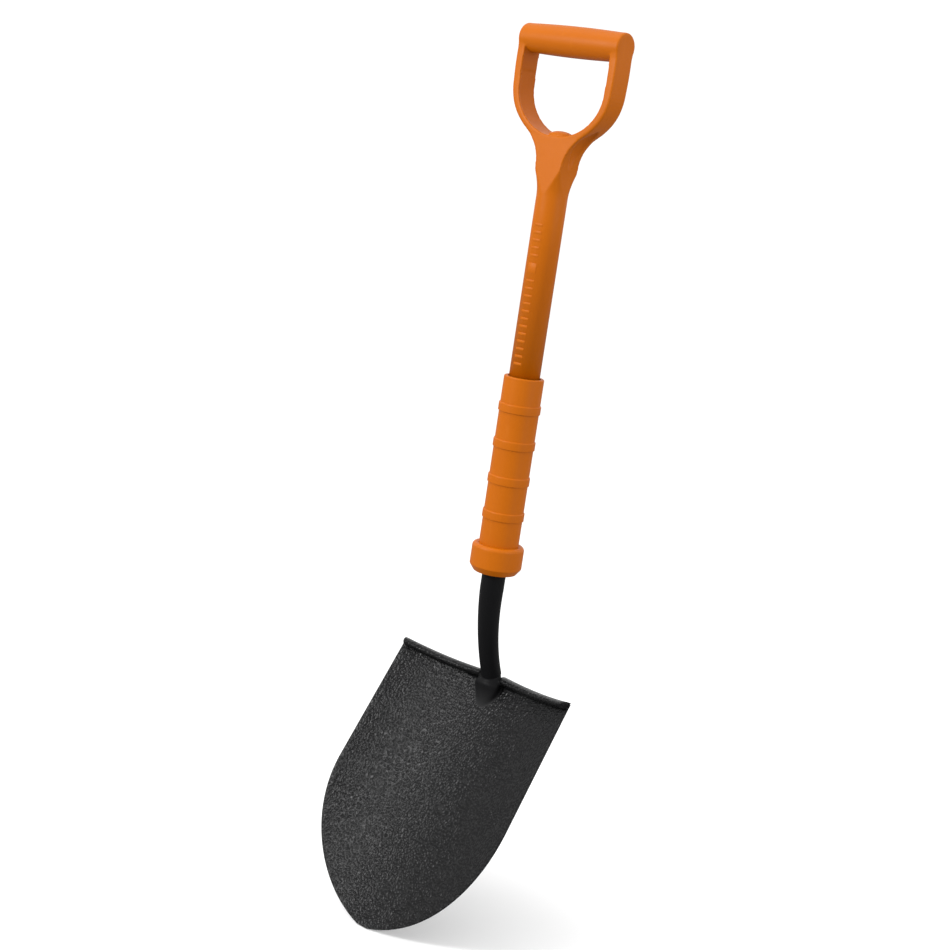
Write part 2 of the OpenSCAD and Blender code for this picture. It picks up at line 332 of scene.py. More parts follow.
def rounded_edges(piece, width, segments=3):
    """Rounds every edge that turns by more than EDGE_ANGLE."""
    return with_modifier(
        piece, "BEVEL", width=width, segments=segments, limit_method="ANGLE", angle_limit=EDGE_ANGLE
    )


def flat_shape(name, outlines, half_depth, edge=0.0):
    """Plate with smooth outlines in the X-Z plane, its rounded edges kept inside the outlines.
    An outline is a list of (x, z, kind), where kind is AUTO on a curve and VECTOR at a corner."""
    put_down()
    bpy.ops.curve.primitive_bezier_curve_add()
    piece = bpy.context.object
    curve = piece.data
    curve.dimensions = "2D"
    curve.fill_mode = "BOTH"
    curve.splines.clear()
    for outline in outlines:
        spline = curve.splines.new("BEZIER")
        spline.bezier_points.add(len(outline) - 1)
        for point, (x, z, kind) in zip(spline.bezier_points, outline):
            point.co = (x, z, 0)
            point.handle_left_type = point.handle_right_type = kind
        spline.use_cyclic_u = True
        spline.resolution_u = CURVE_RESOLUTION
    curve.extrude = half_depth - edge
    curve.bevel_depth = edge
    curve.bevel_resolution = EDGE_RESOLUTION
    curve.offset = -edge
    pick(piece)
    bpy.ops.object.convert(target="MESH")
    piece = named(name)
    piece.rotation_euler = (math.radians(90), 0, 0)
    return clean(settle(piece))


def mirrored(points):
    """A right-hand outline, from its top down, with its left-hand half added going back up."""
    return points + [(-x, z, kind) for x, z, kind in reversed(points) if x > 0]


def crisp_shading(piece):
    """Smooth shading in which broad faces stay flat and only the narrow roundings between them curve."""
    smooth_shading(piece)
    return with_modifier(piece, "WEIGHTED_NORMAL", weight=FACE_WEIGHT)


def smooth_shading(piece, angle=None):
    pick(piece)
    if angle is None:
        bpy.ops.object.shade_smooth()
    else:
        bpy.ops.object.shade_smooth_by_angle(angle=angle)
    return piece


# ---------------------------------------------------------------- D-handle and shaft, one moulding

def arm_outline():
    """Right-hand half of the handle's outline, from the crossbar down to the shaft."""
    return [
        (HANDLE_HALF_W, GRIP_Z, "VECTOR"),
        (HANDLE_HALF_W, GRIP_Z - 40 * MM, "AUTO"),
        (65.2 * MM, GRIP_Z - 61 * MM, "AUTO"),
        (58.6 * MM, GRIP_Z - 76 * MM, "AUTO"),
        (46.8 * MM, GRIP_Z - 89.5 * MM, "AUTO"),
        (32 * MM, GRIP_Z - 101 * MM, "AUTO"),
        (21.3 * MM, GRIP_Z - 116 * MM, "AUTO"),
        (17.6 * MM, GRIP_Z - 131 * MM, "AUTO"),
        (16.6 * MM, CREASE_Z, "VECTOR"),
        (16.6 * MM, HEAD_FOOT, "VECTOR"),
    ]


def window_outline():
    """Right-hand half of the opening's outline: straight above, half an ellipse below."""
    round_z = WINDOW_FLOOR + WINDOW_ROUND
    curve = [(WINDOW_HALF_W, GRIP_Z, "VECTOR")]
    for angle in quarter_turn(CURVE_STEPS):
        curve.append(
            (WINDOW_HALF_W * math.cos(angle), round_z - WINDOW_ROUND * math.sin(angle), "AUTO")
        )
    return curve


def crossbar():
    """Barrel-shaped bar that runs through both arms and rounds off their tops."""
    half = HANDLE_HALF_W
    profile = [
        (0, -half),
        (GRIP_END_R - GRIP_ROUND, -half),
        (GRIP_END_R - 0.3 * GRIP_ROUND, -half + 0.3 * GRIP_ROUND),
        (GRIP_END_R, -half + GRIP_ROUND),
    ]
    for step in range(-CURVE_STEPS, CURVE_STEPS + 1):
        share = step / CURVE_STEPS
        radius = GRIP_END_R + (GRIP_R - GRIP_END_R) * (1 - share * share)
        profile.append((radius, share * WINDOW_HALF_W))
    profile += [(radius, -height) for radius, height in reversed(profile[:4])]
    bar = turned("crossbar", profile, MOULD_LATHE_STEPS)
    bar.rotation_euler = (0, math.radians(90), 0)
    bar.location = (0, 0, GRIP_Z)
    return settle(bar)


def heel():
    """Block below the opening: flat faces that lean out to the shaft, cut to a flare that creases them."""
    block = flat_shape("heel", [mirrored(arm_outline())], BLOCK_HALF_D)
    cut_out = flat_shape("opening", [mirrored(window_outline())], BLOCK_HALF_D + CLEAR)
    combine(block, cut_out, "DIFFERENCE")
    lean = math.atan2(SHAFT_R - ARM_HALF_D, WINDOW_FLOOR - CREASE_Z)
    edit(block)
    for side in (-1, 1):
        bpy.ops.mesh.select_all(action="SELECT")
        bpy.ops.mesh.bisect(
            plane_co=(0, side * SHAFT_R, CREASE_Z),
            plane_no=(0, side * math.cos(lean), math.sin(lean)),
            use_fill=True,
            clear_outer=True,
        )
    done()
    flare = turned(
        "flare",
        [
            (0, HEAD_FOOT),
            (SHAFT_R, HEAD_FOOT),
            (SHAFT_R, CREASE_Z - 2 * MM),
            (SHAFT_R + 0.3 * MM, CREASE_Z + 3 * MM),
            (SHAFT_R + 1.3 * MM, CREASE_Z + 9 * MM),
            (SHAFT_R + 2.7 * MM, CREASE_Z + 15 * MM),
            (SHAFT_R + 4.8 * MM, CREASE_Z + 21.5 * MM),
            (SHAFT_R + 7 * MM, CREASE_Z + 27 * MM),
            (SHAFT_R + 16 * MM, CREASE_Z + 40 * MM),
            (SHAFT_R + 25 * MM, CREASE_Z + 66 * MM),
            (0, CREASE_Z + 66 * MM),
        ],
        MOULD_LATHE_STEPS,
    )
    return combine(clean(block), flare, "INTERSECT")


def dome():
    """Rounded end of the shaft, which stands out of the opening's floor."""
    foot = WINDOW_FLOOR - DOME_DEPTH
    profile = [(0, foot), (DOME_FOOT_R, foot)]
    for angle in quarter_turn(CURVE_STEPS):
        profile.append((DOME_R * math.cos(angle), WINDOW_FLOOR + DOME_H * math.sin(angle)))
    piece = turned("dome", profile, DOME_STEPS)
    edit(piece)
    scale(1, DOME_FLAT, 1, (0, 0, 0))
    done()
    return piece


def arm_cap(side):
    """Upper end of an arm, which deepens towards the crossbar and meets it in a soft corner."""
    put_down()
    middle = (HANDLE_HALF_W - ARM_T / 2) * side
    bpy.ops.mesh.primitive_cube_add(
        size=1, location=(middle, 0, GRIP_Z - CAP_H), scale=(ARM_T, 2 * ARM_HALF_D, CAP_H)
    )
    cap = settle(named("cap"))
    edit(cap)
    choose_faces(lambda spot: spot.z > GRIP_Z - CAP_H / 2 - TINY)
    extrude(z=CAP_H / 2)
    scale(1, CAP_HALF_D / ARM_HALF_D, 1, (middle, 0, GRIP_Z))
    done()
    return rounded_edges(cap, ARM_EDGE)


def cheek_cutter(side):
    """Long pointed tool that leaves a leaf-shaped hollow in one cheek of the heel."""
    high = Vector((CHEEK_HIGH_X * side, 0, GRIP_Z - CHEEK_HIGH_DROP))
    low = Vector((CHEEK_LOW_X * side, 0, GRIP_Z - CHEEK_LOW_DROP))
    half = (high - low).length / 2
    profile = []
    for step in range(-CHEEK_STEPS, CHEEK_STEPS + 1):
        share = step / CHEEK_STEPS
        profile.append((CHEEK_R * (1 - share ** 2), half * step / CHEEK_STEPS))
    cutter = turned("cutter", profile, CUTTER_STEPS)
    cutter.rotation_euler = (0, math.atan2(high.x - low.x, high.z - low.z), 0)
    cutter.location = (high + low) / 2
    return settle(cutter)


def handle_moulding():
    """Arms, crossbar, heel and the shaft's upper end grown into one skin, with the shaft joined below."""
    outlines = [mirrored(arm_outline()), mirrored(window_outline())]
    plate = flat_shape("arms", outlines, ARM_HALF_D, ARM_EDGE)
    edit(plate)
    bpy.ops.mesh.bisect(
        plane_co=(0, 0, CREASE_Z + ARMS_FOOT_H), plane_no=(0, 0, 1), use_fill=True, clear_inner=True
    )
    done()
    stump = turned(
        "stump",
        [
            (0, HEAD_FOOT),
            (SHAFT_R, HEAD_FOOT),
            (SHAFT_R, CREASE_Z),
            (SHAFT_R - 3.5 * MM, CREASE_Z + 30 * MM),
            (SHAFT_R - 3.7 * MM, WINDOW_FLOOR),
            (0, WINDOW_FLOOR),
        ],
        MOULD_LATHE_STEPS,
    )
    caps = [arm_cap(side) for side in (-1, 1)]
    piece = gather([plate, heel(), crossbar(), dome(), stump] + caps)
    with_modifier(piece, "REMESH", mode="VOXEL", voxel_size=MOULD_STEP)
    for side in (-1, 1):
        combine(piece, cheek_cutter(side), "DIFFERENCE")
    with_modifier(piece, "REMESH", mode="VOXEL", voxel_size=MOULD_STEP)
    with_modifier(piece, "SMOOTH", factor=MOULD_SMOOTH_FACTOR, iterations=MOULD_SMOOTHING)
    join_z = HEAD_FOOT + JOIN_H
    edit(piece)
    bpy.ops.mesh.bisect(plane_co=(0, 0, join_z), plane_no=(0, 0, 1), clear_inner=True)
    done()
    tube_top = join_z - JOIN_GAP
    tube = turned("tube", [(0, SHAFT_FOOT), (SHAFT_R, SHAFT_FOOT), (SHAFT_R, tube_top)])
    piece = gather([piece, tube])
    edit(piece)
    bpy.ops.mesh.select_mode(type="EDGE")
    bpy.ops.mesh.select_all(action="DESELECT")
    bpy.ops.mesh.select_non_manifold()
    bpy.ops.mesh.bridge_edge_loops()
    done()
    piece = named("shaft_handle_moulding")
    clean(piece)
    return smooth_shading(piece)


def shaft_bars():
    """Plain raised bars across the front of the shaft, in two groups with a blank pad between them."""
    heights = [(BAR_FOOT + BAR_PITCH * step, BAR_H) for step in range(BARS_BELOW)]
    pad_z = heights[-1][0] + BAR_PITCH + PAD_H / 2
    heights.append((pad_z, PAD_H))
    upper = pad_z + PAD_H / 2
    heights += [(upper + BAR_PITCH * (step + 1), BAR_H) for step in range(BARS_ABOVE)]
    bars = []
    for z, height in heights:
        put_down()
        bpy.ops.mesh.primitive_cube_add(
            size=1, location=(0, -SHAFT_R, z), scale=(BAR_W, BAR_W, height)
        )
        bars.append(settle(named("bar")))
    piece = gather(bars)
    skin = turned(
        "skin",
        [
            (SHAFT_R - BAR_SINK, BAR_FOOT - BAR_H),
            (SHAFT_R + BAR_PROUD, BAR_FOOT - BAR_H),
            (SHAFT_R + BAR_PROUD, WINDOW_FLOOR),
            (SHAFT_R - BAR_SINK, WINDOW_FLOOR),
            (SHAFT_R - BAR_SINK, BAR_FOOT - BAR_H),
        ],
    )
    combine(piece, skin, "INTERSECT")
    piece.rotation_euler = (0, 0, BAR_TURN)
    settle(clean(piece))
    rounded_edges(piece, BAR_ROUND, segments=2)
    piece.name = piece.data.name = "shaft_bars"
    return smooth_shading(piece, BAR_SHADE_ANGLE)


# ---------------------------------------------------------------- sleeve and collar

def sleeve():
    """Thin tube with raised rings, each with a rounded upper edge and a sharp lower one."""
    profile = [(SLEEVE_IN_R, COLLAR_FLOOR), (SLEEVE_R, COLLAR_FLOOR)]
    for ring in reversed(range(RING_COUNT)):
        top = sleeve_high.z - RING_FIRST - ring * RING_PITCH
        foot = top - RING_H
        profile += [
            (SLEEVE_R, foot),
            (RING_R - 0.25 * MM, foot),
            (RING_R, foot + 0.25 * MM),
            (RING_R, top - 1.5 * MM),
            (RING_R - 0.12 * MM, top - 0.9 * MM),
            (RING_R - 0.4 * MM, top - 0.4 * MM),
            (RING_R - 0.9 * MM, top),
            (SLEEVE_R, top),
        ]
    rim = sleeve_high.z
    profile += [
        (SLEEVE_R, rim - 1.4 * MM),
        (SLEEVE_R - 0.2 * MM, rim - 0.7 * MM),
        (SLEEVE_R - 0.7 * MM, rim - 0.2 * MM),
        (SLEEVE_R - 1.3 * MM, rim),
        (RIM_R + 0.3 * MM, rim),
        (RIM_R, rim - 0.3 * MM),
        (RIM_R, rim - RIM_LIP),
        (SLEEVE_IN_R, rim - RIM_LIP - 2 * MM),
        (SLEEVE_IN_R, COLLAR_FLOOR),
    ]
    return crisp_shading(turned("sleeve", profile))


def collar():
    """Thick guard ring, rounded above, with a sloping underside."""
    top = collar_high.z
    profile = [
        (seal_high.x, 0),
        (COLLAR_R - COLLAR_SLOPE - 0.6 * MM, 0),
        (COLLAR_R - COLLAR_SLOPE, 0.3 * MM),
        (COLLAR_R - 0.4 * MM, COLLAR_SLOPE_H - 0.5 * MM),
        (COLLAR_R, COLLAR_SLOPE_H + 0.5 * MM),
    ]
    for turn in quarter_turn(COLLAR_ROUND_STEPS):
        radius = COLLAR_R - COLLAR_ROUND * (1 - math.cos(turn))
        profile.append((radius, top - COLLAR_ROUND * (1 - math.sin(turn))))
    profile += [
        (SLEEVE_R + 0.25 * MM, top - 0.2 * MM),
        (SLEEVE_R, top - 0.6 * MM),
        (SLEEVE_R, COLLAR_FLOOR),
        (seal_high.x, COLLAR_FLOOR),
        (seal_high.x, 0),
    ]
    return crisp_shading(turned("collar", profile))


# ---------------------------------------------------------------- neck, weld and blade

def neck_radius(share):
    """The neck's radius at a share of its bend: widest at the collar."""
    tapered = math.sin(TURN / 4 * min(1, share / NECK_TAPER_SHARE))
    return NECK_R + (NECK_FOOT_R - NECK_R) * tapered


def bend_point(share):
    turn = NECK_TURN * share
    back = NECK_BEND_R * (1 - math.cos(turn))
    return Vector((0, back, -NECK_STRAIGHT - NECK_BEND_R * math.sin(turn)))


def carry_on_bend(here, there, ratio):
    """Extrudes the selected ring of the neck from one share of its bend to another, in proportion."""
    step = bend_point(there) - bend_point(here)
    extrude(*step)
    centre = bend_point(there)
    tip_over(NECK_TURN * (there - here), centre)
    scale(ratio, ratio, ratio, centre)


def neck():
    """Socket inside the sleeve and the bent neck below it, drawn out of one ring."""
    bore = SOCKET_R - SOCKET_WALL
    flare = COLLAR_FLOOR + SOCKET_FLARE_H
    put_down()
    bpy.ops.mesh.primitive_circle_add(
        vertices=NECK_SIDES, radius=bore, fill_type="NGON", location=(0, 0, flare + SOCKET_FLOOR_H)
    )
    piece = settle(named("neck"))
    edit(piece)
    extrude(z=socket_high.z - flare - SOCKET_FLOOR_H)
    extrude()
    scale(SOCKET_R / bore, SOCKET_R / bore, 1, (0, 0, socket_high.z))
    extrude(z=flare - socket_high.z)
    last = SOCKET_R
    for step in range(1, FLARE_STEPS + 1):
        share = step / FLARE_STEPS
        radius = NECK_R + (SOCKET_R - NECK_R) * (1 + math.cos(TURN / 2 * share)) / 2
        extrude(z=-SOCKET_FLARE_H / FLARE_STEPS)
        scale(radius / last, radius / last, 1, (0, 0, flare - SOCKET_FLARE_H * share))
        last = radius
    extrude(z=-COLLAR_FLOOR - NECK_STRAIGHT)
    for step in range(NECK_STEPS):
        here = step / NECK_STEPS * NECK_END_SHARE
        there = (step + 1) / NECK_STEPS * NECK_END_SHARE
        carry_on_bend(here, there, neck_radius(there) / neck_radius(here))
    done()
    return smooth_shading(clean(piece), NECK_SHADE_ANGLE)


def half_width(along):
    """Half the blade's width at a distance below its top."""
    if along < BLADE_STRAIGHT:
        return (BLADE_TOP_W + (BLADE_W - BLADE_TOP_W) * along / BLADE_STRAIGHT) / 2
    wide = (BLADE_W - TIP_W) / 2
    length = BLADE_L - BLADE_STRAIGHT
    radius = (wide ** 2 + length ** 2) / (2 * wide)
    return BLADE_W / 2 - radius + math.sqrt(radius ** 2 - (along - BLADE_STRAIGHT) ** 2)


def dish(x, along):
    """How far the blade stands forward of its middle line."""
    return (DISH_TOP + (DISH_TIP - DISH_TOP) * along / BLADE_L) * (2 * x / BLADE_TOP_W) ** 2


def blade_point(x, along, behind):
    back = behind - dish(x, along)
    lean = Vector((0, math.sin(BLADE_LIFT), math.cos(BLADE_LIFT)))
    out = Vector((0, math.cos(BLADE_LIFT), -math.sin(BLADE_LIFT)))
    return ROOT - lean * along + out * back + Vector((x, 0, 0))


def blade_plate(thickness=BLADE_T, sink=0.0):
    """Dished plate: its upper edge drawn across behind the treads, then carried down by rows to the tip."""
    put_down()
    half = half_width(0)
    places = [half * (2 * step / BLADE_COLS - 1) for step in range(BLADE_COLS + 1)]
    corner = ROOT + Vector((-half, sink - dish(half, 0), TREAD_COVER))
    bpy.ops.mesh.primitive_plane_add(size=MM, location=corner)
    piece = settle(named("blade_plate"))
    edit(piece)
    bpy.ops.mesh.merge(type="CENTER")
    for here, there in zip(places, places[1:]):
        extrude(x=there - here, y=dish(here, 0) - dish(there, 0))
    bpy.ops.mesh.select_all(action="SELECT")
    extrude(z=-TREAD_COVER)
    rows = [BLADE_L * math.sin(TURN / 4 * step / BLADE_ROWS) for step in range(BLADE_ROWS + 1)]
    for here, there in zip(rows, rows[1:]):
        extrude(z=here - there)
        wide = half_width(there) / half_width(here)
        deep = dish(half_width(there), there) / dish(half_width(here), here)
        scale(wide, deep, 1, ROOT + Vector((0, sink, -there)))
    bpy.ops.mesh.select_all(action="SELECT")
    extrude(y=thickness)
    bpy.ops.mesh.select_all(action="SELECT")
    tip_over(-BLADE_LIFT, ROOT)
    done()
    return clean(piece)


def tread_section():
    """Outline of a tread's section, forward and up from the blade's edge: flat behind, full round ahead."""
    points = []
    for step in range(TREAD_SECTION_STEPS + 1):
        turn = TURN / 2 * step / TREAD_SECTION_STEPS
        ahead = TREAD_DEPTH * math.sin(turn) ** TREAD_FULLNESS
        points.append((ahead, TREAD_H / 2 * (math.cos(turn) - 1)))
    return points


def tread_lift(x):
    """How far the treads' line rises above the blade's edge: most at the neck, a little at the corners."""
    share = (abs(x) - TREAD_GAP / 2) / (BLADE_TOP_W / 2 - TREAD_GAP / 2)
    return TREAD_BASE_LIFT + TREAD_NECK_LIFT * (1 - share) ** 2 + TREAD_END_LIFT * share ** 2


def tread(side, sink=0.0):
    """Foot tread: its section filled, then carried out along the blade's edge, square to its curve."""
    first = TREAD_GAP / 2
    last = half_width(0)

    def spot_at(x):
        lifted = Vector((0, 0, tread_lift(x) - sink))
        return blade_point(side * x, -TREAD_H / 2, BLADE_T) + lifted

    def yaw_at(x):
        return math.atan(2 * dish(x, 0) / x)

    yaw = yaw_at(first)
    forward = Vector((-side * math.sin(yaw), -math.cos(yaw), 0)) * math.cos(TREAD_RISE)
    forward.z = math.sin(TREAD_RISE)
    up = Vector((side * math.sin(yaw), math.cos(yaw), 0)) * math.sin(BLADE_LIFT)
    up.z = math.cos(BLADE_LIFT)
    section = [forward * ahead + up * above for ahead, above in tread_section()]
    spot = spot_at(first)
    put_down()
    bpy.ops.mesh.primitive_plane_add(size=MM, location=spot + section[0])
    piece = settle(named("tread"))
    edit(piece)
    bpy.ops.mesh.merge(type="CENTER")
    for here, there in zip(section, section[1:]):
        extrude(*(there - here))
    bpy.ops.mesh.select_all(action="SELECT")
    bpy.ops.mesh.edge_face_add()
    size = TREAD_END_SIZE
    scale(size, size, size, spot)
    for step in range(1, TREAD_STEPS + 1):
        x = first + (last - first) * (1 - math.cos(TURN / 2 * step / TREAD_STEPS)) / 2
        near = 1 - min(1, (x - first) / TREAD_END_ROUND)
        far = 1 - min(1, (last - x) / TREAD_TIP_ROUND)
        next_size = TREAD_END_SIZE + (1 - TREAD_END_SIZE) * math.sqrt(1 - near ** 2)
        next_size -= TREAD_TIP_CUT * (1 - math.sqrt(1 - far ** 2))
        next_spot = spot_at(x)
        extrude(*(next_spot - spot))
        next_yaw = yaw_at(x)
        bpy.ops.transform.rotate(
            value=side * (next_yaw - yaw), orient_axis="Z", center_override=next_spot
        )
        ratio = next_size / size
        scale(ratio, ratio, ratio, next_spot)
        size, spot, yaw = next_size, next_spot, next_yaw
    done()
    return clean(piece)


def blade():
    plate = rounded_edges(blade_plate(), PLATE_ROUND)
    treads = [rounded_edges(tread(side), TREAD_ROUND, segments=2) for side in (-1, 1)]
    piece = gather([plate] + treads)
    piece.name = piece.data.name = "blade_and_treads"
    return smooth_shading(piece, BLADE_SHADE_ANGLE)


def trimmed(piece, place, away):
    """Cuts off what lies beyond a plane and closes the cut."""
    edit(piece)
    bpy.ops.mesh.bisect(plane_co=place, plane_no=away, use_fill=True, clear_outer=True)
    done()
    return piece


def weld_ring(share):
    """Radius and backward tilt of the weld's section at a share of its length down the blade."""
    taper = (1 + WELD_TAPER * math.cos(TURN / 2 * share)) / (1 + WELD_TAPER)
    radius = (NECK_FOOT_R - WELD_SINK) * taper
    return radius, -BLADE_LIFT * min(1, WELD_FIRST_TILT + WELD_TILT * share)


def weld():
    """Smooth blend of the neck's end into the treads and both faces of the blade, grown into one skin."""
    put_down()
    start = bend_point(WELD_START_SHARE)
    bpy.ops.mesh.primitive_circle_add(
        vertices=WELD_SIDES, radius=NECK_FOOT_R - WELD_SINK, fill_type="NGON", location=start
    )
    stub = settle(named("stub"))
    edit(stub)
    tip_over(NECK_TURN * WELD_START_SHARE, start)
    carry_on_bend(WELD_START_SHARE, NECK_END_SHARE, 1)
    centre = bend_point(NECK_END_SHARE)
    radius, tilt, wide = NECK_FOOT_R - WELD_SINK, NECK_TURN * NECK_END_SHARE, 1
    for step in range(WELD_STEPS + 1):
        share = step / WELD_STEPS
        next_radius, next_tilt = weld_ring(share)
        next_centre = blade_point(0, WELD_L * share, BLADE_T + WELD_BACK * (1 - share) - next_radius)
        next_wide = WELD_WIDTH + WELD_SPREAD * share
        extrude(*(next_centre - centre))
        tip_over(next_tilt - tilt, next_centre)
        ratio = next_radius / radius
        scale(ratio * next_wide / wide, ratio, ratio, next_centre)
        centre, radius, tilt, wide = next_centre, next_radius, next_tilt, next_wide
    done()
    clean(stub)
    leaning = Vector((0, math.sin(BLADE_LIFT), math.cos(BLADE_LIFT)))
    patch = blade_plate(BLADE_T - 2 * WELD_SINK, WELD_SINK)
    shapes = [stub, trimmed(patch, ROOT - leaning * WELD_PATCH_L, -leaning)]
    shapes += [tread(side, WELD_SINK) for side in (-1, 1)]
    for shape in shapes[1:]:
        for side in (-1, 1):
            trimmed(shape, (side * WELD_HALF_W, 0, 0), (side, 0, 0))
    piece = gather(shapes)
    with_modifier(piece, "REMESH", mode="VOXEL", voxel_size=WELD_STEP)
    with_modifier(piece, "SMOOTH", factor=WELD_SMOOTH_FACTOR, iterations=WELD_SMOOTHING)
    piece.name = piece.data.name = "neck_blend"
    return smooth_shading(clean(piece))


# ---------------------------------------------------------------- finishes

class Value:
    """A number in a finish that may vary over the surface, so that patterns are written as arithmetic."""

    def __init__(self, finish, socket):
        self.finish = finish
        self.socket = socket

    def sum(self, operation, first, second):
        return self.finish.node("ShaderNodeMath", {"operation": operation}, {0: first, 1: second})

    def __add__(self, other):
        return self.sum("ADD", self, other)

    def __radd__(self, other):
        return self.sum("ADD", other, self)

    def __sub__(self, other):
        return self.sum("SUBTRACT", self, other)

    def __rsub__(self, other):
        return self.sum("SUBTRACT", other, self)

    def __mul__(self, other):
        return self.sum("MULTIPLY", self, other)

    def __rmul__(self, other):
        return self.sum("MULTIPLY", other, self)


class Finish:
    """One procedural material, built round a Principled surface."""

    def __init__(self, name, **surface):
        self.material = bpy.data.materials.new(name)
        self.material.use_nodes = True
        self.tree = self.material.node_tree
        self.surface = self.tree.nodes["Principled BSDF"]
        for socket, value in surface.items():
            self.surface.inputs[socket.replace("_", " ")].default_value = value
        self.place = self.node("ShaderNodeTexCoord", {}, {}, "Object")

    def node(self, kind, settings, inputs, output=0):
        """Adds a node: its settings first, ramp stops among them, then its sockets' values or links."""
        node = self.tree.nodes.new(kind)
        for setting, value in settings.items():
            if setting == "stops":
                ramp = node.color_ramp
                for index, (place, shade) in enumerate(value):
                    stop = ramp.elements[index] if index < 2 else ramp.elements.new(place)
                    stop.position = place
                    stop.color = shade if isinstance(shade, tuple) else (shade, shade, shade, 1)
            else:
                setattr(node, setting, value)
        for socket, value in inputs.items():
            if isinstance(value, Value):
                self.tree.links.new(value.socket, node.inputs[socket])
            else:
                node.inputs[socket].default_value = value
        return Value(self, node.outputs[output])

    def noise(self, size, detail=2.0, roughness=0.5, stretch=None):
        """Cloudy pattern with patches of about a size in metres, from 0 to 1 over the surface."""
        place = self.place
        if stretch:
            place = self.node("ShaderNodeMapping", {}, {"Vector": place, "Scale": stretch})
        inputs = {"Vector": place, "Scale": 1 / size, "Detail": detail, "Roughness": roughness}
        return self.node("ShaderNodeTexNoise", {}, inputs, "Fac")

    def ramp(self, value, *stops):
        return self.node("ShaderNodeValToRGB", {"stops": stops}, {"Fac": value})

    def blend(self, share, first, second):
        inputs = {0: share, 6: first, 7: second}
        return self.node("ShaderNodeMix", {"data_type": "RGBA"}, inputs, 2)

    def bump(self, height, depth, strength=1.0, over=None):
        """Relief of a depth in metres, laid over an earlier one if there is one."""
        inputs = {"Height": height, "Distance": depth, "Strength": strength}
        if over:
            inputs["Normal"] = over
        return self.node("ShaderNodeBump", {}, inputs, "Normal")

    def wear(self, **looks):
        """Links what varies to the surface and gives back the finished material."""
        for socket, value in looks.items():
            self.tree.links.new(value.socket, self.surface.inputs[socket.replace("_", " ")])
        return self.material


ORANGE_DEEP = (0.44, 0.102, 0.0, 1)
ORANGE_PALE = (0.5, 0.122, 0.0, 1)
ORANGE_SCUFF = (0.54, 0.15, 0.008, 1)


COAT_DEEP = (0.004, 0.004, 0.0042, 1)
COAT_PALE = (0.009, 0.009, 0.0094, 1)
# Neck colours: painted shade, a darker copy of the blade's coat, and a paler foot colour that is painted
# light where the neck meets the blade.
NECK_SHADED_DEEP = (0.0035, 0.0035, 0.004, 1)
NECK_SHADED_PALE = (0.006, 0.006, 0.0065, 1)
NECK_FOOT_PAINTED_LIGHT = (0.021, 0.021, 0.0215, 1)
NECK_LIGHT_FADE_LOW = 0.156
NECK_LIGHT_FADE_RATE = 45
RESIN_DEEP = (0.56, 0.52, 0.36, 1)
RESIN_PALE = (0.74, 0.7, 0.52, 1)
ZINC_DEEP = (0.48, 0.49, 0.5, 1)
ZINC_PALE = (0.62, 0.62, 0.6, 1)
RUBBER_DEEP = (0.008, 0.008, 0.008, 1)
RUBBER_PALE = (0.018, 0.018, 0.018, 1)


def orange_plastic():
    """Moulded orange sheath: fine satin grain, faint clouding, a few pale rub marks along its length."""
    finish = Finish("orange_plastic_skin", Specular_IOR_Level=0.15)
    cloud = finish.noise(0.045, 3)
    grain = finish.noise(0.0006, 2)
    mottle = finish.noise(0.004, 3)
    rubs = finish.ramp(finish.noise(0.006, 4, 0.6, (1, 1, 0.12)), (0.62, 0.0), (0.74, 1.0))
    colour = finish.blend(cloud * 0.7 + mottle * 0.3, ORANGE_DEEP, ORANGE_PALE)
    colour = finish.blend(rubs * 0.25, colour, ORANGE_SCUFF)
    relief = finish.bump(grain, 0.00006, 0.6)
    relief = finish.bump(mottle, 0.00012, 0.5, relief)
    return finish.wear(
        Base_Color=colour,
        Roughness=finish.noise(0.009, 3) * 0.14 + rubs * 0.08 + 0.38,
        Normal=relief,
    )


def black_coating():
    """Coated blade steel: a dark skin pebbled all over, with small glossier specks among the pebbles."""
    finish = Finish(
        "black_coating_skin", Specular_IOR_Level=0.1, Coat_IOR=1.25, Coat_Roughness=0.42
    )
    pebble = finish.noise(0.0023, 0)
    fine = finish.noise(0.0012, 2)
    cloud = finish.noise(0.05, 3)
    speck = finish.ramp(pebble, (0.5, 0.0), (0.6, 1.0))
    colour = finish.blend(cloud * 0.6 + fine * 0.4, COAT_DEEP, COAT_PALE)
    relief = finish.bump(pebble, 0.0009, 1.0)
    return finish.wear(
        Base_Color=colour,
        Roughness=cloud * 0.06 + 0.24,
        Coat_Weight=speck * 0.5,
        Normal=relief,
    )


def black_neck_shaded_paint():
    """Satin black, smoother and duller than the blade's coat. Its darker colour is painted shade, and its
    paler colour at the weld's foot is painted light, to meet the lit blade.
    """
    finish = Finish("black_neck_shaded_skin", Specular_IOR_Level=0.08)
    cloud = finish.noise(0.03, 3)
    fine = finish.noise(0.0012, 3)
    colour = finish.blend(cloud, NECK_SHADED_DEEP, NECK_SHADED_PALE)
    height = finish.node("ShaderNodeSeparateXYZ", {}, {"Vector": finish.place}, "Z")
    # Painted light: the colour turns paler towards the weld's foot, where it meets the blade.
    foot = finish.ramp((height + NECK_LIGHT_FADE_LOW) * NECK_LIGHT_FADE_RATE, (0.0, 1.0), (1.0, 0.0))
    colour = finish.blend(foot, colour, NECK_FOOT_PAINTED_LIGHT)
    return finish.wear(
        Base_Color=colour,
        Roughness=fine * 0.15 + cloud * 0.08 + 0.36,
        Normal=finish.bump(fine, 0.00014, 0.5),
    )


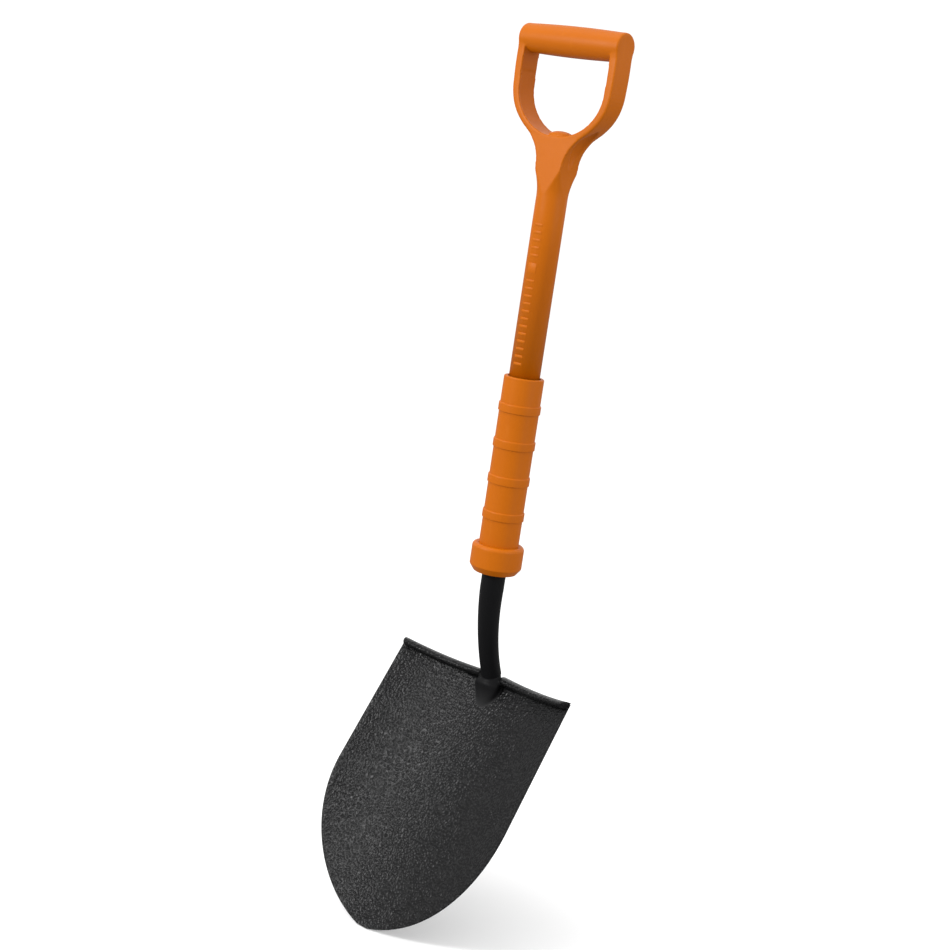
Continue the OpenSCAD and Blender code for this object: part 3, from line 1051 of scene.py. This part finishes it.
def fibreglass():
    """Pale glass rod: long fibres that run up it, set in slightly cloudy resin."""
    finish = Finish("fibreglass_rod", Specular_IOR_Level=0.4)
    fibres = finish.noise(0.0009, 4, 0.6, (1, 1, 0.02))
    cloud = finish.noise(0.02, 2)
    colour = finish.blend(fibres * 0.7 + cloud * 0.3, RESIN_DEEP, RESIN_PALE)
    relief = finish.bump(fibres, 0.0001, 0.5)
    return finish.wear(Base_Color=colour, Roughness=fibres * 0.2 + 0.35, Normal=relief)


def rivet_steel():
    """Zinc-plated steel with turned marks and a little dullness."""
    finish = Finish("rivet_steel_zinc", Metallic=1.0)
    marks = finish.noise(0.0008, 3, 0.6, (1, 8, 8))
    cloud = finish.noise(0.003, 3)
    colour = finish.blend(cloud, ZINC_DEEP, ZINC_PALE)
    relief = finish.bump(marks, 0.00005, 0.5)
    return finish.wear(Base_Color=colour, Roughness=cloud * 0.2 + 0.3, Normal=relief)


def black_rubber():
    """Soft black seal and plug rubber with a fine matt skin."""
    finish = Finish("black_rubber_skin", Specular_IOR_Level=0.25)
    fine = finish.noise(0.0009, 3)
    cloud = finish.noise(0.01, 2)
    colour = finish.blend(cloud, RUBBER_DEEP, RUBBER_PALE)
    relief = finish.bump(fine, 0.0001, 0.5)
    return finish.wear(Base_Color=colour, Roughness=fine * 0.2 + 0.6, Normal=relief)


def coat(piece, material):
    piece.data.materials.clear()
    piece.data.materials.append(material)


def coat_node(node, material):
    """Gives a CAD node that stays in view a better finish, in its own slots."""
    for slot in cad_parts[node].material_slots:
        slot.material = material


# ---------------------------------------------------------------- studio

BLADE_MIDDLE = Vector((0, -80 * MM, -260 * MM))
SLEEVE_MIDDLE = Vector((0, 0, 100 * MM))
# name, place it is aimed at, azimuth, elevation, distance, width, height, power
SOFTBOXES = (
    ("front_softbox", BLADE_MIDDLE, -24, 33, 2.2, 0.4, 0.4, 28),
    ("top_softbox", SLEEVE_MIDDLE, -40, 70, 2.6, 1.2, 1.2, 14),
    ("side_softbox", SLEEVE_MIDDLE, 95, 12, 2.6, 1.4, 1.4, 16),
)
WORLD_STRENGTH = 1.08
FLOOR_SIZE = 60
FLOOR_DEEP = (0.32, 0.32, 0.32, 1)
FLOOR_PALE = (0.96, 0.96, 0.96, 1)
FLOOR_PALER = (0.98, 0.98, 0.98, 1)
CAMERA_AZIMUTH = math.radians(40.0)
CAMERA_ELEVATION = math.radians(10.883)
CAMERA_ROLL = math.radians(8.536)
CAMERA_DISTANCE = 2.0194
CAMERA_AIM_SIDE = -0.03724
CAMERA_AIM_HEIGHT = 0.10454
CAMERA_LENS = 69.63
SENSOR_WIDTH = 36


def direction(azimuth, elevation):
    """Unit vector from the object towards a place at an azimuth and an elevation, in degrees."""
    a, e = math.radians(azimuth), math.radians(elevation)
    return Vector((math.sin(a) * math.cos(e), -math.cos(a) * math.cos(e), math.sin(e)))


def add_camera():
    back = direction(math.degrees(CAMERA_AZIMUTH), math.degrees(CAMERA_ELEVATION))
    right = Vector((math.cos(CAMERA_AZIMUTH), math.sin(CAMERA_AZIMUTH), 0))
    up = back.cross(right)
    aim = Vector((0, 0, CAMERA_AIM_HEIGHT)) + right * CAMERA_AIM_SIDE
    data = bpy.data.cameras.new("camera")
    data.lens = CAMERA_LENS
    data.sensor_width = SENSOR_WIDTH
    camera = bpy.data.objects.new("camera", data)
    bpy.context.scene.collection.objects.link(camera)
    across = math.cos(CAMERA_ROLL) * right + math.sin(CAMERA_ROLL) * up
    upright = math.cos(CAMERA_ROLL) * up - math.sin(CAMERA_ROLL) * right
    place = Matrix((across, upright, back)).transposed().to_4x4()
    place.translation = aim + back * CAMERA_DISTANCE
    camera.matrix_world = place
    bpy.context.scene.camera = camera


def add_softbox(name, target, azimuth, elevation, distance, width, height, power):
    """Rectangular lamp that faces a point from a direction."""
    data = bpy.data.lights.new(name, "AREA")
    data.shape = "RECTANGLE"
    data.size = width
    data.size_y = height
    data.energy = power
    lamp = bpy.data.objects.new(name, data)
    bpy.context.scene.collection.objects.link(lamp)
    towards = direction(azimuth, elevation)
    lamp.location = target + towards * distance
    lamp.rotation_euler = towards.to_track_quat("Z", "Y").to_euler()


def add_floor():
    """Pale floor to the eye, which throws only a little light back up at the shovel."""
    put_down()
    bpy.ops.mesh.primitive_plane_add(size=FLOOR_SIZE, location=(0, 0, cad_box[0].z))
    floor = settle(named("studio_floor"))
    finish = Finish("studio_floor_paper", Specular_IOR_Level=0.1)
    cloud = finish.noise(0.3, 3)
    seen = finish.node("ShaderNodeLightPath", {}, {}, "Is Camera Ray")
    colour = finish.blend(seen, FLOOR_DEEP, finish.blend(cloud, FLOOR_PALE, FLOOR_PALER))
    coat(floor, finish.wear(Base_Color=colour, Roughness=cloud * 0.1 + 0.8))


def add_light():
    world = bpy.data.worlds.new("studio")
    world.use_nodes = True
    world.node_tree.nodes["Background"].inputs["Color"].default_value = (1, 1, 1, 1)
    world.node_tree.nodes["Background"].inputs["Strength"].default_value = WORLD_STRENGTH
    bpy.context.scene.world = world
    bpy.context.scene.view_settings.view_transform = "Standard"
    for softbox in SOFTBOXES:
        add_softbox(*softbox)


# ---------------------------------------------------------------- the shovel

add_camera()
orange = orange_plastic()
coating = black_coating()
neck_shaded_paint = black_neck_shaded_paint()
rubber = black_rubber()

for make, slot, material, nodes in (
    (handle_moulding, "orange_plastic", orange, ("shaft_handle",)),
    (shaft_bars, "orange_plastic", orange, ()),
    (sleeve, "orange_plastic", orange, ("grip_sleeve",)),
    (collar, "orange_plastic", orange, ("guard_collar",)),
    (neck, "black_coating", neck_shaded_paint, ("neck_socket",)),
    (weld, "black_coating", neck_shaded_paint, ("neck_weld",)),
    (blade, "black_coating", coating, ("blade",)),
):
    piece = make()
    coat(piece, material)
    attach(piece, "root")
    if nodes:
        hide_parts(*nodes)

coat_node("core_rod", fibreglass())
coat_node("socket_rivets", rivet_steel())
coat_node("shaft_end_plug", rubber)
coat_node("neck_seal", rubber)

add_floor()
add_light()
